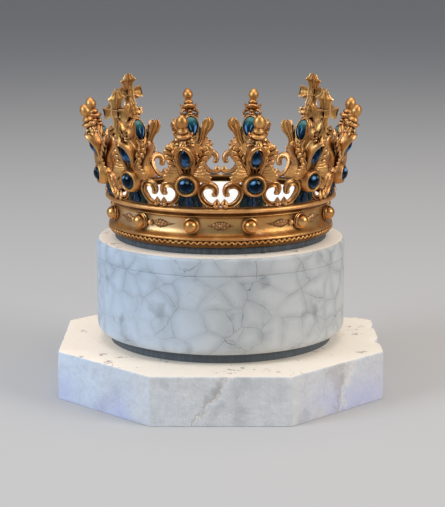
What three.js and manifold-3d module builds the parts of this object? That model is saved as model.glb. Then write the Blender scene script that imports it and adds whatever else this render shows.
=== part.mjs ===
// A gilt medieval crown set with blue stones, resting on a marble display stand.
// Millimetres, +Z up, origin at the middle of the plinth's underside, front towards -Y.
import * as THREE from "three";
import { mergeVertices } from "three/addons/utils/BufferGeometryUtils.js";
import Module from "manifold-3d";

const wasm = await Module();
wasm.setup();

// Driving dimensions
const SEAT_GAP = 0.2; // clearance between pieces that rest on each other
const SECTORS = 12; // the crown repeats twelve times round
const SECTOR_ANGLE = (2 * Math.PI) / SECTORS;
const CROSS_EVERY = 3; // one fleuron in three carries a cross, the others a ball
const RING_SEGMENTS = 48;
const DISC_SEGMENTS = 32;
const BEZEL_SIDES = 10; // facets round studs, settings and their stones
const SQUARE = Math.PI / 4; // rolls a four-sided bar onto a flat face

const PLINTH = { acrossFlats: 280, height: 42, chamfer: 1.2 };
const FOOT_DISC = { radius: 98, height: 8 };
const DRUM = { radius: 109.2, height: 83, topBreak: 3.5, footIn: 7, footHeight: 9 };
const SEAT_DISC = { radius: 93, height: 5.6 };
const BAND = { height: 34, wall: 92.4, inner: 90.4, footOut: 98.3, rimOut: 101.1, rimTop: 99.3 };
const BAND_LEAF = { height: 18, bottom: 13.4, top: 22.6, rise: 2 };
const LINING = { thickness: 1, bottom: 0.6, top: 28 };
const STUD = { height: 18.3, collar: 7.1, collarThick: 2.2, dome: 6.1, reach: 9.2, stand: 0.6 };
const CREST = { radius: 96.4, bend: 10, flare: THREE.MathUtils.degToRad(17.5) };
const BEZEL = { up: 20.5, radius: 8.7, mouth: 6.9, back: -2, seat: 5, rim: 8.4 };
const CABOCHON = { radius: 6.5, girdle: 2.2, dome: 4.6 };
const DROP = { bottom: 35.4, top: 54.6, radius: 5.5 };
const FINIAL_PROUD = 1.8;
const CROSS = { up: 81, proud: 1, reach: 13.6, armEnd: 4.5, waist: 1.9, heart: 2.6 };

const GILT = { color: 0xb98538, metalness: 1, roughness: 0.34 };
const MARBLE = { color: 0xcfd4da, metalness: 0, roughness: 0.5 };
const SLATE = { color: 0x353b42, metalness: 0, roughness: 0.6 };
const IVORY = { color: 0xf6f4ee, metalness: 0, roughness: 0.7 };
const SAPPHIRE = { color: 0x0c2740, metalness: 0, roughness: 0.08 };

// Sections of the fleuron's bars on a flat sheet: side and up from the middle of its foot, proud of
// the sheet, and half the width and depth of the bar there. Halves start at the middle's far end.
const SCROLL = [
  { side: 24.2, up: 8.4, proud: 1.4, width: 0.4, depth: 0.6 },
  { side: 22.8, up: 3.4, proud: 1.2, width: 1.8, depth: 1.8 },
  { side: 16.0, up: 2.2, proud: 1.0, width: 1.8, depth: 2.0 },
  { side: 10.8, up: 8.8, proud: 1.0, width: 2.0, depth: 2.2 },
  { side: 10.7, up: 17.2, proud: 1.0, width: 2.2, depth: 2.4 },
  { side: 17.0, up: 22.4, proud: 1.0, width: 2.5, depth: 2.5 },
  { side: 22.8, up: 19.6, proud: 1.0, width: 2.5, depth: 2.5 },
  { side: 23.0, up: 15.0, proud: 1.0, width: 2.1, depth: 2.2 },
  { side: 19.4, up: 13.2, proud: 1.0, width: 1.4, depth: 1.8 },
];
const PETAL = [
  { side: 2.4, up: 25.0, proud: 0.6, width: 0.8, depth: 0.6 },
  { side: 9.4, up: 30.0, proud: -1.0, width: 3.0, depth: 1.6 },
  { side: 11.4, up: 37.0, proud: -3.6, width: 3.6, depth: 1.6 },
  { side: 14.6, up: 44.6, proud: -7.0, width: 5.4, depth: 1.7 },
  { side: 16.4, up: 51.6, proud: -10.0, width: 1.8, depth: 1.0 },
];
const LOW_LEAF = [
  { side: 1.4, up: 30.4, proud: 1.0, width: 0.8, depth: 0.6 },
  { side: 11.6, up: 30.0, proud: 2.8, width: 4.4, depth: 2.3 },
  { side: 19.0, up: 32.0, proud: 2.6, width: 0.9, depth: 0.8 },
];
const STEM = [
  { side: 0, up: 0.1, proud: 0.2, width: 8.0, depth: 1.5 },
  { side: 0, up: 7.0, proud: 0.4, width: 12.0, depth: 1.8 },
  { side: 0, up: 12.0, proud: 0.6, width: 5.4, depth: 2.0 },
  { side: 0, up: 35.6, proud: 1.0, width: 5.8, depth: 2.4 },
];
const HALF_HOOD = [
  { side: -2.4, up: 33.0, proud: 1.0, width: 0.8, depth: 0.8 },
  { side: -6.9, up: 42.4, proud: 1.8, width: 1.2, depth: 2.0 },
  { side: -6.1, up: 51.0, proud: 3.0, width: 1.4, depth: 3.2 },
  { side: 0, up: 57.2, proud: 4.2, width: 2.0, depth: 5.2 },
];
const HALF_LEAFLETS = [
  { side: -7.8, up: 62.0, proud: 2.4, width: 0.5, depth: 0.6 },
  { side: 0, up: 61.4, proud: 1.8, width: 2.0, depth: 1.6 },
];

// The cross, of square section: its post from the hood to the bud on top, and half of its arms
const CROSS_POST = [
  { side: 0, up: 56.4, proud: 1.8, width: 2.6, depth: 2.6 },
  { side: 0, up: 61.0, proud: 1.8, width: 3.2, depth: 3.2 },
  { side: 0, up: 73.0, proud: 1.6, width: CROSS.waist, depth: CROSS.waist },
  { side: 0, up: CROSS.up, proud: CROSS.proud, width: CROSS.heart, depth: CROSS.heart },
  { side: 0, up: 87.4, proud: -0.8, width: CROSS.waist, depth: CROSS.waist },
  { side: 0, up: 92.2, proud: -2.2, width: CROSS.armEnd, depth: CROSS.armEnd },
  { side: 0, up: 97.6, proud: -3.8, width: 0.8, depth: 0.8 },
];
const HALF_CROSS_ARMS = [
  { side: -CROSS.reach, up: CROSS.up, proud: CROSS.proud, width: 3.6, depth: 3.6 },
  { side: 1.2 - CROSS.reach, up: CROSS.up, proud: CROSS.proud, width: CROSS.armEnd, depth: CROSS.armEnd },
  { side: -9.4, up: CROSS.up, proud: CROSS.proud, width: 2.6, depth: 2.6 },
  { side: -6, up: CROSS.up, proud: CROSS.proud, width: CROSS.waist, depth: CROSS.waist },
  { side: 0, up: CROSS.up, proud: CROSS.proud, width: CROSS.heart, depth: CROSS.heart },
];

// The turned finial from the hood to its ball: radius and height of each turn
const BALL_TURNS = [
  { radius: 0, up: 56.4 },
  { radius: 2.2, up: 57.4 },
  { radius: 2.1, up: 63.6 },
  { radius: 7.2, up: 67.2 },
  { radius: 3.2, up: 69.4 },
  { radius: 4.8, up: 71.0 },
  { radius: 2.6, up: 72.6 },
  { radius: 4.9, up: 76.2 },
  { radius: 3.7, up: 80.4 },
  { radius: 0, up: 82.6 },
];

// Solids

/** A closed geometry as a solid that can be joined. */
function solidOf(geometry) {
  const bare = geometry.clone();
  bare.deleteAttribute("normal");
  bare.deleteAttribute("uv");
  const merged = mergeVertices(bare, 1e-3);
  const mesh = new wasm.Mesh({
    numProp: 3,
    vertProperties: merged.getAttribute("position").array,
    triVerts: new Uint32Array(merged.index.array),
  });
  return new wasm.Manifold(mesh);
}

/** Several overlapping geometries joined into one. */
function join(geometries) {
  const [first, ...others] = geometries.map(solidOf);
  const mesh = others.reduce((whole, piece) => whole.add(piece), first).getMesh();
  const joined = new THREE.BufferGeometry();
  joined.setAttribute("position", new THREE.BufferAttribute(mesh.vertProperties, 3));
  joined.setIndex(new THREE.BufferAttribute(mesh.triVerts, 1));
  joined.computeVertexNormals();
  return joined;
}

/** Moves every vertex of a geometry to where place(point) puts it. */
function reshape(geometry, place) {
  const position = geometry.getAttribute("position");
  const point = new THREE.Vector3();
  for (let i = 0; i < position.count; i++) {
    place(point.fromBufferAttribute(position, i));
    position.setXYZ(i, point.x, point.y, point.z);
  }
  return geometry;
}

/** A four-sided bar along a table's rows, its section changing from row to row; turn rolls the section. */
function bar(rows, steps, turn = 0) {
  const middles = rows.map((row) => new THREE.Vector3(row.side, row.up, row.proud));
  const path = new THREE.CatmullRomCurve3(middles, false, "centripetal");
  const across = new THREE.Vector3();
  const spread = 1 / Math.cos(turn);
  return reshape(new THREE.CylinderGeometry(spread, spread, 1, 4, steps, false, turn), (point) => {
    const along = 0.5 - point.y;
    const stretch = Math.min(Math.floor(along * (rows.length - 1)), rows.length - 2);
    const share = along * (rows.length - 1) - stretch;
    const from = rows[stretch];
    const to = rows[stretch + 1];
    const width = THREE.MathUtils.lerp(from.width, to.width, share) * point.x;
    const depth = THREE.MathUtils.lerp(from.depth, to.depth, share) * point.z;
    const tangent = path.getTangent(along);
    across.set(-tangent.y, tangent.x, 0).normalize();
    point.copy(path.getPoint(along)).addScaledVector(across, width);
    point.z += depth;
  });
}

/** The rows of a table on the other side of the middle. */
function mirrored(rows) {
  return rows.map((row) => ({ ...row, side: -row.side }));
}

/** A table of one half, ending at the middle, made whole. */
function whole(half) {
  return [...half, ...mirrored(half).reverse().slice(1)];
}

/** A pair of bars, one on each side of the middle. */
function pair(rows, steps, turn) {
  return [bar(rows, steps, turn), bar(mirrored(rows), steps, turn)];
}

/** A solid turned about +Y, from rows of radius and up. */
function turned(rows, segments) {
  const profile = rows.map((row) => new THREE.Vector2(row.radius, row.up));
  return new THREE.LatheGeometry(profile, segments);
}

/** A solid turned about +Z. */
function turnedUpright(rows, segments) {
  return turned(rows, segments).rotateX(Math.PI / 2);
}

/** Wraps a flat sheet of side, up and proud round the crown: it bends out from the rim, then runs straight. */
function ontoCrest(geometry) {
  const { radius, bend, flare } = CREST;
  const bendRadius = bend / flare;
  return reshape(geometry, (point) => {
    const lean = flare * THREE.MathUtils.clamp(point.y / bend, 0, 1);
    const past = Math.max(point.y - bend, 0);
    const sheetRadius = radius + bendRadius * (1 - Math.cos(lean)) + past * Math.sin(flare);
    const sheetHeight = BAND.height + bendRadius * Math.sin(lean) + past * Math.cos(flare);
    const angle = point.x / sheetRadius;
    const reach = sheetRadius + point.z * Math.cos(lean);
    const height = sheetHeight - point.z * Math.sin(lean);
    point.set(reach * Math.sin(angle), -reach * Math.cos(angle), height);
  });
}

// Stand

function plinth() {
  const { acrossFlats, height, chamfer } = PLINTH;
  const corner = acrossFlats / 2 / Math.cos(Math.PI / 8);
  const rows = [
    { radius: 0, up: 0 },
    { radius: corner, up: 0 },
    { radius: corner, up: height - chamfer },
    { radius: corner - chamfer, up: height },
    { radius: 0, up: height },
  ];
  return turnedUpright(rows, 8).rotateZ(Math.PI / 8);
}

function disc({ radius, height }) {
  const rows = [
    { radius: 0, up: 0 },
    { radius, up: 0 },
    { radius, up: height },
    { radius: 0, up: height },
  ];
  return turnedUpright(rows, DISC_SEGMENTS);
}

function drum() {
  const { radius, height, topBreak, footIn, footHeight } = DRUM;
  const rows = [
    { radius: 0, up: 0 },
    { radius: radius - footIn, up: 0 },
    { radius: radius - footIn / 4, up: footHeight / 2 },
    { radius, up: footHeight },
    { radius, up: height - topBreak },
    { radius: radius - topBreak, up: height },
    { radius: 0, up: height },
  ];
  return turnedUpright(rows, DISC_SEGMENTS);
}

// Crown

/** The band, its wall raised into a pointed leaf midway between neighbouring studs. */
function circlet() {
  const { height, wall, inner, footOut, rimOut, rimTop } = BAND;
  const rows = [
    { radius: inner, up: 0 },
    { radius: footOut - 2, up: 0 },
    { radius: footOut, up: 2.4 },
    { radius: footOut, up: 6.8 },
    { radius: wall + 0.4, up: 11.2 },
    { radius: wall, up: BAND_LEAF.bottom },
    { radius: wall - 0.2, up: BAND_LEAF.height },
    { radius: wall, up: BAND_LEAF.top },
    { radius: wall + 0.3, up: 25.6 },
    { radius: rimOut, up: 31.4 },
    { radius: rimTop, up: height },
    { radius: inner, up: height },
    { radius: inner, up: 0 },
  ];
  return reshape(turnedUpright(rows, RING_SEGMENTS), (point) => {
    const turns = Math.atan2(point.x, -point.y) / SECTOR_ANGLE;
    const between = Math.abs(turns - Math.round(turns)) < 1e-3;
    if (!between || Math.abs(point.z - BAND_LEAF.height) > 1e-3) return;
    const raised = (wall + BAND_LEAF.rise) / Math.hypot(point.x, point.y);
    point.x *= raised;
    point.y *= raised;
  });
}

function lining() {
  const outer = BAND.inner - SEAT_GAP;
  const inner = outer - LINING.thickness;
  const rows = [
    { radius: inner, up: LINING.bottom },
    { radius: outer, up: LINING.bottom },
    { radius: outer, up: LINING.top },
    { radius: inner, up: LINING.top },
    { radius: inner, up: LINING.bottom },
  ];
  return turnedUpright(rows, DISC_SEGMENTS);
}

/** A domed stud on a collar, its axis along +Z. */
function stud() {
  const { collar, collarThick, dome, reach } = STUD;
  const rows = [
    { radius: 0, up: 0 },
    { radius: collar, up: 0 },
    { radius: collar - 0.4, up: collarThick },
    { radius: dome * 0.8, up: reach - 2 },
    { radius: 0, up: reach },
  ];
  return turnedUpright(rows, BEZEL_SIDES);
}

/** The deep round setting, open in front. */
function bezel() {
  const rows = [
    { radius: 0, up: BEZEL.back },
    { radius: BEZEL.radius, up: BEZEL.back },
    { radius: BEZEL.radius, up: BEZEL.rim - 0.8 },
    { radius: BEZEL.mouth, up: BEZEL.rim },
    { radius: BEZEL.mouth, up: BEZEL.seat },
    { radius: 0, up: BEZEL.seat },
  ];
  return turnedUpright(rows, BEZEL_SIDES).translate(0, BEZEL.up, 0);
}

/** A fleuron of the bars that both kinds share and those of its own top. */
function fleuron(top) {
  const bars = [
    bar(STEM, STEM.length - 1),
    ...pair(SCROLL, SCROLL.length - 1, SQUARE),
    ...pair(PETAL, PETAL.length - 1),
    ...pair(LOW_LEAF, LOW_LEAF.length - 1),
    bar(whole(HALF_HOOD), 6, SQUARE),
    bar(whole(HALF_LEAFLETS), 2),
    bezel(),
    ...top,
  ];
  return join(bars.map(ontoCrest));
}

function ballTop() {
  return [turned(BALL_TURNS, 8).translate(0, 0, FINIAL_PROUD)];
}

function crossTop() {
  const arms = whole(HALF_CROSS_ARMS);
  return [CROSS_POST, arms].map((rows) => bar(rows, rows.length - 1, SQUARE));
}

function cabochon() {
  const { radius, girdle, dome } = CABOCHON;
  const rows = [
    { radius: 0, up: 0 },
    { radius, up: 0 },
    { radius, up: girdle },
    { radius: radius * 0.72, up: girdle + dome * 0.66 },
    { radius: 0, up: girdle + dome },
  ];
  const seat = BEZEL.seat + SEAT_GAP;
  return ontoCrest(turnedUpright(rows, BEZEL_SIDES).translate(0, BEZEL.up, seat));
}

function dropStone() {
  const { bottom, top, radius } = DROP;
  const tall = top - bottom;
  const rows = [
    { radius: 0, up: bottom },
    { radius: radius * 0.62, up: bottom + tall * 0.22 },
    { radius, up: bottom + tall * 0.52 },
    { radius: radius * 0.78, up: bottom + tall * 0.82 },
    { radius: 0, up: top },
  ];
  return ontoCrest(turned(rows, 10));
}

// Assembly

function mesh(name, geometry, finish) {
  const made = new THREE.Mesh(geometry, new THREE.MeshStandardMaterial(finish));
  made.name = name;
  return made;
}

/** The stand's pieces stacked on each other, and the height of its seat. */
function stand() {
  const group = new THREE.Group();
  const stack = [
    { name: "plinth", geometry: plinth(), finish: MARBLE, height: PLINTH.height },
    { name: "foot_disc", geometry: disc(FOOT_DISC), finish: SLATE, height: FOOT_DISC.height },
    { name: "drum", geometry: drum(), finish: MARBLE, height: DRUM.height },
    { name: "seat_disc", geometry: disc(SEAT_DISC), finish: SLATE, height: SEAT_DISC.height },
  ];
  let seat = 0;
  for (const { name, geometry, finish, height } of stack) {
    const piece = mesh(name, geometry, finish);
    piece.position.z = seat;
    group.add(piece);
    seat += height + SEAT_GAP;
  }
  return { group, seat };
}

/** The crown, its twelve sectors turned about its axis. */
function crown() {
  const group = new THREE.Group();
  group.add(mesh("circlet", circlet(), GILT), mesh("lining", lining(), IVORY));
  const fleurons = { ball: fleuron(ballTop()), cross: fleuron(crossTop()) };
  const stone = cabochon();
  const drop = dropStone();
  const knob = stud();
  for (let index = 0; index < SECTORS; index++) {
    const number = String(index + 1).padStart(2, "0");
    const kind = index % CROSS_EVERY === 1 ? "cross" : "ball";
    const crest = new THREE.Group();
    crest.position.z = SEAT_GAP;
    crest.add(mesh(`${kind}_fleuron_${number}`, fleurons[kind], GILT));
    crest.add(mesh(`cabochon_${number}`, stone, SAPPHIRE));
    crest.add(mesh(`drop_stone_${number}`, drop, SAPPHIRE));
    const boss = mesh(`stud_${number}`, knob, GILT);
    boss.position.set(0, -(BAND.wall + STUD.stand), STUD.height);
    boss.rotation.x = Math.PI / 2;
    const sector = new THREE.Group();
    sector.rotation.z = (index + 0.5) * SECTOR_ANGLE;
    sector.add(crest, boss);
    group.add(sector);
  }
  return group;
}

const object = new THREE.Group();
const base = stand();
const top = crown();
top.position.z = base.seat;
object.add(base.group, top);

export default object;
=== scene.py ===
"""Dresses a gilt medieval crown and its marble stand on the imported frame, in metres."""

from __future__ import annotations

import logging
import math
from collections.abc import Callable, Iterable, Sequence
from dataclasses import dataclass
from enum import Enum

import bmesh
import bpy
import numpy as np
from bmesh.types import BMesh
from mathutils import Matrix, Vector, noise


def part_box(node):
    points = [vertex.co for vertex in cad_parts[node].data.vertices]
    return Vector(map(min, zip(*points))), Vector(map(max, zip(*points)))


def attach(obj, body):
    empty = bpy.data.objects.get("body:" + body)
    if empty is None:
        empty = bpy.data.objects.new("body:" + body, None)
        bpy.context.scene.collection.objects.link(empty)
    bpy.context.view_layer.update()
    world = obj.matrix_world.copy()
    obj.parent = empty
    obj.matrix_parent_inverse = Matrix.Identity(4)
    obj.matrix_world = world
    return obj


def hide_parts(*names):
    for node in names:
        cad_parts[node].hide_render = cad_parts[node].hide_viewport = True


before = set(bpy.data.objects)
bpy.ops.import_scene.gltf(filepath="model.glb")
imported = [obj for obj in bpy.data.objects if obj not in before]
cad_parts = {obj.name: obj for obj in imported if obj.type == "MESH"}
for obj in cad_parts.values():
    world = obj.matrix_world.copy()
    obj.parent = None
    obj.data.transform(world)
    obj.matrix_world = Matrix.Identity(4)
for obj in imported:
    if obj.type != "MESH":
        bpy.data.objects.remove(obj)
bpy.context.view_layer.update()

LOG = logging.getLogger("crown")
MM = 0.001
BODY = "root"
SECTORS = 12
SECTOR_ANGLE = 2 * math.pi / SECTORS
NUMBERS = range(1, SECTORS + 1)
CROSS_EVERY = 3
SETTING_UP = 20.5
SETTING_TILT = math.radians(-12)
SETTING = Matrix.Translation((0, SETTING_UP, 0)) @ Matrix.Rotation(SETTING_TILT, 4, "X")
UPRIGHT = Matrix.Rotation(-math.pi / 2, 4, "X")
# the second finish of a casting is painted shade, the fourth a painted highlight
PLAIN, SHADED, LEAF, BRIGHT = range(4)  # numbers of a casting's finishes
# that finish is a darker copy of the gilding, painted shade
HOLLOW = 2  # number of the finish in the hollows of a cross
MERGE = 1e-5
THINNEST = 0.03  # least half width and half depth of a bar
RIM = 0.95  # points of a section nearer its middle than this lie in a hollow
SCALLOP_LAG = 0.1  # how far the waves of a bar's edges trail behind its middle
Colour = tuple[float, float, float]
Table = tuple[tuple[float, ...], ...]
Bead = tuple[tuple[float, float, float], float]
Mesh = bpy.types.Mesh
Material = bpy.types.Material


def mirrored(left: Table) -> Table:
    """Adds the mirror image of the left half of a row of points."""
    return (*left, *((-row[0], *row[1:]) for row in reversed(left) if row[0]))


def quartered(side: Table) -> Table:
    """Closes a section from one of its four equal sides."""
    sides = [side]
    for _ in range(3):
        sides.append(tuple((proud, -across) for across, proud in sides[-1]))
    return tuple(point for one in sides for point in one)


class Section(Enum):
    """Closed sections of cast bars: across and proud, each from -1 to 1."""

    FLUTED = mirrored((
        (-0.6, -1), (-1, -0.5), (-1, 0.4), (-0.88, 0.84), (-0.68, 1), (-0.5, 0.86), (-0.3, 0.5),
        (0, 0.34),
    ))
    PADDLE = mirrored((
        (0, 0.8), (-0.2, 1), (-0.45, 0.8), (-0.78, 0.6), (-1, 0), (-0.86, -0.7), (-0.62, -0.78),
        (-0.4, -0.42), (-0.2, -0.82), (0, -0.95),
    ))
    BLADE = mirrored((
        (-0.2, -0.7), (-0.6, -0.5), (-1, 0), (-0.76, 0.5), (-0.46, 0.86), (-0.18, 0.96), (0, 0.5),
    ))
    TONGUE = tuple((proud, across) for across, proud in BLADE)
    SHELL = mirrored((
        (0, -1), (-0.7, -1), (-1, -0.8), (-1, 0.5), (-0.86, 0.86), (-0.6, 1), (-0.3, 0.88),
        (0, 0.8),
    ))
    ROUND = tuple((math.cos(0.2 * math.pi * k), math.sin(0.2 * math.pi * k)) for k in range(10))
    BUBBLE = mirrored(((-0.5, -0.6), (-1, 0), (-0.8, 0.6), (-0.4, 0.85), (0, 1.1)))
    STEM = mirrored((
        (-1, -1), (-1, 0.7), (-0.88, 1), (-0.74, 0.8), (-0.56, 0.2), (-0.38, 0.8), (-0.26, 0.9),
        (-0.14, 0.7), (0, 0.15),
    ))
    CUSP = quartered(((1, 1), (0.9, 0.7), (0.62, 0.42), (0.54, 0), (0.62, -0.42), (0.9, -0.7)))


class Top(Enum):
    """What a fleuron ends in."""

    BALL = "ball"
    CROSS = "cross"


# Shapes, in millimetres on a flat sheet of side, up and proud


def spline(table: np.ndarray, shares: np.ndarray) -> np.ndarray:
    """Reads a table's rows as one smooth curve.

    Args:
        table: Rows of equal length, the curve's knots.
        shares: Places along the curve, from 0 to 1.

    Returns:
        One row for each share.
    """
    last = len(table) - 1
    place = shares * last
    knot = np.minimum(place.astype(int), last - 1)
    t = (place - knot)[:, None]
    before, start = table[np.maximum(knot - 1, 0)], table[knot]
    end, after = table[knot + 1], table[np.minimum(knot + 2, last)]
    pull = (2 * before - 5 * start + 4 * end - after) * t**2
    twist = (3 * start - before - 3 * end + after) * t**3
    return 0.5 * (2 * start + (end - before) * t + pull + twist)


def grid(across: int, along: int, points: np.ndarray, finishes: Sequence[int] = ()) -> BMesh:
    """Makes a closed shape from a grid whose first and last columns meet.

    Args:
        across: Faces round the section.
        along: Faces along the path.
        points: Places of the grid's points, by row and column.
        finishes: Finish of each column of faces, if not the first.

    Returns:
        The closed shape.
    """
    shape = bmesh.new()
    made = bmesh.ops.create_grid(shape, x_segments=across, y_segments=along, size=1.0)
    for face in shape.faces if finishes else ():
        face.material_index = finishes[int((face.calc_center_median().x + 1) / 2 * across)]
    for vert in made["verts"]:
        column = round((vert.co.x + 1) / 2 * across) % across
        row = round((vert.co.y + 1) / 2 * along)
        vert.co = points[row, column]
    bmesh.ops.remove_doubles(shape, verts=shape.verts, dist=MERGE)
    ends = [edge for edge in shape.edges if edge.is_boundary]
    if ends:
        bmesh.ops.holes_fill(shape, edges=ends, sides=0)
    return shape


def sweep(
    rows: Table,
    section: Section,
    steps: int,
    lobes: float = 0,
    notch: float = 0.0,
    crumple: float = 0.0,
    hollow: int = 0,
) -> BMesh:
    """Draws a section along a smooth path.

    Args:
        rows: Side, up, proud, half width and half depth along the path.
        section: The section drawn along it.
        steps: Faces along the path.
        lobes: Scallops along its edges.
        notch: How deep the scallops cut, as a share of the width.
        crumple: How far the scallops rise and fall, as a share of the depth.
        hollow: Finish of the hollows of the section.

    Returns:
        The closed bar.
    """
    shares = np.linspace(0, 1, steps + 1)
    path = spline(np.array(rows, float), shares)
    run = np.gradient(path[:, :3], axis=0)
    across = np.stack([-run[:, 1], run[:, 0], np.zeros(len(run))], axis=1)
    across /= np.linalg.norm(across, axis=1)[:, None] + 1e-9
    scallop = 1 - np.abs(np.cos(math.pi * lobes * shares))
    half = np.maximum(path[:, 3], THINNEST) * (1 - notch * scallop)
    deep = np.maximum(path[:, 4], THINNEST)
    outline = np.array(section.value, float)
    edge = np.abs(outline[:, 0])
    wave = crumple * edge * np.cos(2 * math.pi * lobes * (shares[:, None] - SCALLOP_LAG * edge))
    aside = half[:, None] * outline[None, :, 0]
    points = path[:, None, :3] + across[:, None, :] * aside[:, :, None]
    points[:, :, 2] += deep[:, None] * (outline[None, :, 1] + wave)
    inner = np.abs(outline).max(axis=1) < RIM
    finishes = np.where(inner & np.roll(inner, -1), hollow, 0)
    return grid(len(outline), steps, points, finishes.tolist())


def turn(profile: Sequence[tuple[float, float]], steps: int, place: Matrix | None = None) -> BMesh:
    """Turns a profile about +Z.

    Args:
        profile: Radius and height of each point, from the foot up.
        steps: Faces round the axis.
        place: Moves the turned shape.

    Returns:
        The turned shape.
    """
    shape = bmesh.new()
    verts = [shape.verts.new((radius, 0, height)) for radius, height in profile]
    edges = [shape.edges.new(ends) for ends in zip(verts, verts[1:])]
    bmesh.ops.spin(
        shape, geom=verts + edges, cent=(0, 0, 0), axis=(0, 0, 1), dvec=(0, 0, 0),
        angle=2 * math.pi, steps=steps, use_merge=True,
    )
    bmesh.ops.remove_doubles(shape, verts=shape.verts, dist=MERGE)
    if place is not None:
        bmesh.ops.transform(shape, matrix=place, verts=shape.verts)
    return shape


def bead(centre: tuple[float, float, float], radius: float) -> BMesh:
    """Makes a small round bead."""
    shape = bmesh.new()
    centred = Matrix.Translation(centre)
    bmesh.ops.create_uvsphere(shape, u_segments=12, v_segments=8, radius=radius, matrix=centred)
    return shape


def dome(radius: float, low: float, high: float, points: int = 9) -> list[tuple[float, float]]:
    """Lists the profile of a half ellipse from its edge to its top.

    Args:
        radius: Radius at the edge.
        low: Height of the edge.
        high: Height of the top.
        points: Points on the curve.

    Returns:
        Radius and height of each point.
    """
    angles = [0.5 * math.pi * k / (points - 1) for k in range(points)]
    return [(radius * math.cos(a), low + (high - low) * math.sin(a)) for a in angles]


class Casting:
    """Shapes that are cast together as one mesh."""

    def __init__(self) -> None:
        """Starts an empty casting."""
        self.shape = bmesh.new()

    def add(
        self,
        part: BMesh,
        both: bool = False,
        place: Matrix | None = None,
        finish: int | None = None,
    ) -> None:
        """Adds a closed shape.

        Args:
            part: The shape, which is used up.
            both: Adds its mirror image on the other side too.
            place: Moves the shape first.
            finish: Which of the piece's finishes it gets, if not those its faces have.
        """
        for face in part.faces if finish is not None else ():
            face.material_index = finish
        if place is not None:
            bmesh.ops.transform(part, matrix=place, verts=part.verts)
        if both:
            geometry = part.verts[:] + part.edges[:] + part.faces[:]
            bmesh.ops.mirror(part, geom=geometry, axis="X", merge_dist=0)
        bmesh.ops.recalc_face_normals(part, faces=part.faces)
        mesh = bpy.data.meshes.new("shape")
        part.to_mesh(mesh)
        part.free()
        self.shape.from_mesh(mesh)
        bpy.data.meshes.remove(mesh)

    def mesh(
        self, name: str, place: Callable[[np.ndarray], np.ndarray], crisp: float = 50
    ) -> Mesh:
        """Finishes the casting as a mesh in metres.

        Args:
            name: Name of the mesh.
            place: Takes points in millimetres to their place in metres.
            crisp: Edges sharper than this angle in degrees stay crisp.

        Returns:
            The finished mesh.
        """
        mesh = bpy.data.meshes.new(name)
        self.shape.to_mesh(mesh)
        self.shape.free()
        flat = np.zeros(len(mesh.vertices) * 3, np.float32)
        mesh.vertices.foreach_get("co", flat)
        placed = place(flat.reshape(-1, 3).astype(float))
        mesh.vertices.foreach_set("co", placed.astype(np.float32).ravel())
        mesh.shade_smooth()
        mesh.set_sharp_from_angle(angle=math.radians(crisp))
        mesh.update()
        return mesh


@dataclass(frozen=True)
class Crest:
    """The sheet that the fleurons are cast on: it bends out from the rim, then runs straight."""

    radius: float = 96.4
    bend: float = 10.0
    flare: float = math.radians(17.5)
    rise: float = 34.2

    def wrap(self, points: np.ndarray) -> np.ndarray:
        """Wraps flat points round the front of the crown.

        Args:
            points: Side, up and proud in millimetres.

        Returns:
            Places in metres, before the turn to a sector.
        """
        side, up, proud = points.T
        curve = self.bend / self.flare
        lean = self.flare * np.clip(up / self.bend, 0, 1)
        past = np.maximum(up - self.bend, 0)
        radius = self.radius + curve * (1 - np.cos(lean)) + past * math.sin(self.flare)
        height = self.rise + curve * np.sin(lean) + past * math.cos(self.flare)
        angle = side / radius
        reach = radius + proud * np.cos(lean)
        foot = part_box("circlet")[0].z / MM
        z = foot + height - proud * np.sin(lean)
        return np.stack([reach * np.sin(angle), -reach * np.cos(angle), z], axis=1) * MM


def show(
    name: str, mesh: Mesh, finishes: Sequence[Material], nodes: Iterable[str] = ()
) -> None:
    """Puts a piece in the scene on the frame.

    Args:
        name: Name of the piece.
        mesh: Its mesh, already in place.
        finishes: Its finishes, in the order of its faces' numbers.
        nodes: The frame's nodes that it stands for.
    """
    piece = bpy.data.objects.new(name, mesh)
    bpy.context.scene.collection.objects.link(piece)
    for finish in finishes:
        mesh.materials.append(finish)
    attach(piece, BODY)
    for node in nodes:
        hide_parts(node)
    LOG.info("%s: %d faces", name, len(mesh.polygons))


def turned(model: Mesh, number: int) -> Mesh:
    """Copies a model from the front and turns it to a sector."""
    mesh = model.copy()
    mesh.transform(Matrix.Rotation((number - 0.5) * SECTOR_ANGLE, 4, "Z"))
    return mesh


def top_of(number: int) -> Top:
    """Says what the fleuron of a sector ends in."""
    return Top.CROSS if (number - 1) % CROSS_EVERY == 1 else Top.BALL


def still(points: np.ndarray) -> np.ndarray:
    """Takes placed millimetres to metres."""
    return points * MM


# Finishes


class Shade:
    """A shader value that arithmetic works on."""

    def __init__(self, tree: bpy.types.NodeTree, socket: bpy.types.NodeSocket) -> None:
        """Holds a socket of a tree."""
        self.tree = tree
        self.socket = socket

    def sum(self, operation: str, left: Shade | float, right: Shade | float) -> Shade:
        """Adds a Math node.

        Args:
            operation: The node's operation.
            left: First value.
            right: Second value.

        Returns:
            The node's result.
        """
        node = self.tree.nodes.new("ShaderNodeMath")
        node.operation = operation
        for socket, value in zip(node.inputs, (left, right)):
            if isinstance(value, Shade):
                self.tree.links.new(value.socket, socket)
            else:
                socket.default_value = value
        return Shade(self.tree, node.outputs[0])

    def __add__(self, other: Shade | float) -> Shade:
        """Adds."""
        return self.sum("ADD", self, other)

    __radd__ = __add__

    def __sub__(self, other: Shade | float) -> Shade:
        """Takes away."""
        return self.sum("SUBTRACT", self, other)

    def __rsub__(self, other: float) -> Shade:
        """Takes this away from a number."""
        return self.sum("SUBTRACT", other, self)

    def __mul__(self, other: Shade | float) -> Shade:
        """Multiplies."""
        return self.sum("MULTIPLY", self, other)

    __rmul__ = __mul__

    def __abs__(self) -> Shade:
        """Drops the sign."""
        return self.sum("ABSOLUTE", self, 0.0)


Value = Shade | float | Sequence[float]


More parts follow.
